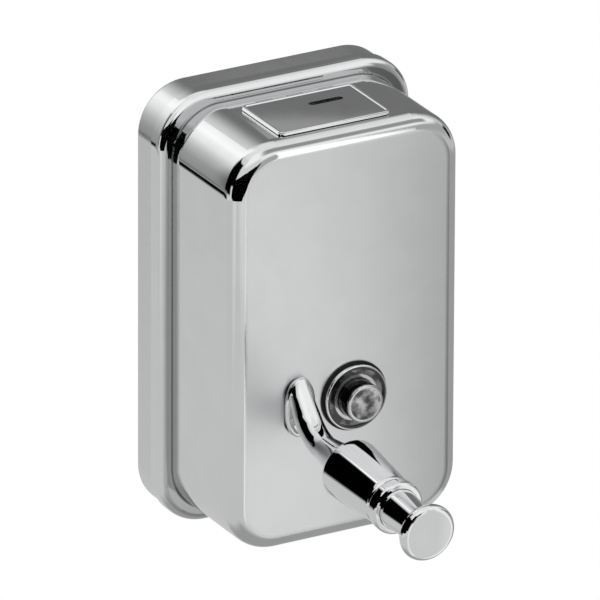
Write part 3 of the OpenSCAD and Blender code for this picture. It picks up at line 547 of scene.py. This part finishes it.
def studio():
    """World: white for the camera and for soft light, and a studio of light and dark screens in the mirrors."""
    world = bpy.data.worlds.new("studio")
    scene.world = world
    world.use_nodes = True
    tree = world.node_tree
    way = add(tree, "ShaderNodeSeparateXYZ", {0: add(tree, "ShaderNodeTexCoord").outputs["Generated"]}).outputs
    leftward = calc(tree, "MULTIPLY", way[0], -1.0)
    around = calc(tree, "DEGREES", calc(tree, "ARCTAN2", leftward, way[1]))
    height = calc(tree, "DEGREES", calc(tree, "ARCSINE", way[2]))

    def edges(angle, limits, soft):
        """Two soft steps, up at the first limit and down at the second."""
        first, second = (remap(tree, angle, limit - soft, limit + soft, smooth=True) for limit in limits)
        return [first, calc(tree, "SUBTRACT", 1.0, second)]

    total = BARE_TONE
    for tone, az, el, az_soft, el_soft in SCREENS:
        inside, *others = edges(around, az, az_soft) + edges(height, el, el_soft)
        for edge in others:
            inside = calc(tree, "MULTIPLY", inside, edge)
        kept = calc(tree, "MULTIPLY", total, calc(tree, "SUBTRACT", 1.0, inside))
        total = calc(tree, "ADD", kept, calc(tree, "MULTIPLY", inside, tone))
    mirrored = add(tree, "ShaderNodeLightPath").outputs["Is Glossy Ray"]
    strength = calc(tree, "ADD", calc(tree, "MULTIPLY", total, mirrored), calc(tree, "SUBTRACT", 1.0, mirrored))
    plug(tree.nodes["Background"], {0: (1, 1, 1, 1), 1: strength})


studio()


def even(tone):
    """Tones of a card that is the same all along."""
    return [(0.0, tone), (1.0, tone)]


def card(name, middle, facing, half, soft, tones, side=None, power=1.0):
    """Soft-edged studio card that only mirrors in front of it see; tones are (place, tone) along its side."""
    facing = Vector(facing).normalized()
    across = Vector(side).normalized() if side else Vector((-facing.y, facing.x, 0)).normalized()
    rise = facing.cross(across)
    mat, tree = empty_material(name)
    place = add(tree, "ShaderNodeSeparateXYZ", {0: add(tree, "ShaderNodeTexCoord").outputs["Object"]}).outputs
    fades = [remap(tree, calc(tree, "ABSOLUTE", place[axis]), half[axis] - soft[axis], half[axis], 1.0, 0.0,
                   smooth=True) for axis in (0, 1)]
    inside = calc(tree, "MULTIPLY", *fades)
    front = calc(tree, "SUBTRACT", 1.0, add(tree, "ShaderNodeNewGeometry").outputs["Backfacing"])
    seen = calc(tree, "MULTIPLY", inside, front)
    shade = ramp(tree, remap(tree, place[0], -half[0], half[0]), [(at, grey(tone)) for at, tone in tones])
    open_air = add(tree, "ShaderNodeBsdfTransparent").outputs[0]
    lit = add(tree, "ShaderNodeEmission", {"Color": shade, "Strength": power}).outputs[0]
    pick = add(tree, "ShaderNodeMixShader", {0: seen, 1: open_air, 2: lit}).outputs[0]
    add(tree, "ShaderNodeOutputMaterial", {0: pick})
    obj = panel(name, *half, 0, mat)
    obj.matrix_world = Matrix.Translation(Vector(middle)) @ Matrix((across, rise, facing)).transposed().to_4x4()
    obj.visible_camera = False
    obj.visible_diffuse = False
    obj.visible_shadow = False


# In front, below and to the right: what the front face mirrors, light at the left and grey at the right
way = Vector((-back.x, back.y, -back.z))
card("front_card", TANK_FRONT + way * 0.22, -way, (0.16, 0.17), (0.05, 0.08), [
    (0.254, 0.20), (0.339, 0.30), (0.377, 0.38), (0.418, 0.50), (0.459, 0.66), (0.50, 0.81), (0.555, 0.93),
    (0.63, 1.0), (0.68, 0.95), (0.73, 0.66), (0.80, 0.66), (0.85, 1.0), (0.92, 1.0)])
# In front and to the right: a strip light along the top's front edge, which fades to the right
way = Vector((0.454, -0.891, 0))
card("strip_card", Vector((-0.02, -0.08, 0.24)) + way * 1.0, -way, (0.062, 0.45), (0.025, 0.08), even(1.0),
     power=1.25)
# Above the top's front edge: a grey card over its upper half
card("edge_card", (0.015, -0.0972, 0.122), (0, 0.69, -0.72), (0.065, 0.0116), (0.015, 0.007), even(0.32),
     side=(1, 0, 0))
# Close to the front face: the dark arc on the barrel's rim
card("rim_flag", (0.005, -0.0835, 0.006), (0, -1, 0), (0.032, 0.018), (0.004, 0.004), even(0.0))
# Round the camera: the dark side of the studio, which the upper left corners mirror
way = Vector((-0.616, -0.788, 0))
card("camera_flag", Vector((-0.055, -0.08, 0.072)) + way * 0.5, -way, (0.52, 0.20), (0.01, 0.006), even(0.0))
# Close on the left and high: the soft light along the round upper left edges
card("left_card", (-0.10, 0.16, 0.331), (1, 0, 0), (0.269, 0.19), (0.004, 0.03), [
    (0.004, 0.26), (0.04, 0.31), (0.075, 0.48), (0.123, 0.80), (0.212, 1.0), (0.31, 0.95), (1.0, 0.7)],
    side=(0, 0, 1), power=1.15)
# Close on the right: grey for the right edge
card("right_card", (0.30, -0.02, -0.15), (-1, 0, 0), (0.32, 0.17), (0.08, 0.04), even(0.37))
# Upright above the top's front half and facing the wall: white for the step behind the lid
card("step_card", (0.0, -0.07, 0.118), (0, 1, 0), (0.08, 0.02), (0.01, 0.004), even(1.0), power=1.15)
# Behind and to the right: the lighter corner of the lid
way = Vector((-back.x, -back.y, back.z))
card("lid_card", Vector((-0.0332, -0.1117, 0.1)) + way * 0.5, -way, (0.05, 0.0275), (0.01, 0.004), even(0.34))
# Under the tank: a light ground and a grey table top, which dim the lower edges
card("ground", (0, -0.1, -0.32), (0, 0, 1), (0.9, 0.9), (0.25, 0.25), even(0.60), side=(1, 0, 0))
card("table", (0, -0.1, -0.30), (0, 0, 1), (0.26, 0.26), (0.14, 0.14), even(0.36), side=(1, 0, 0))
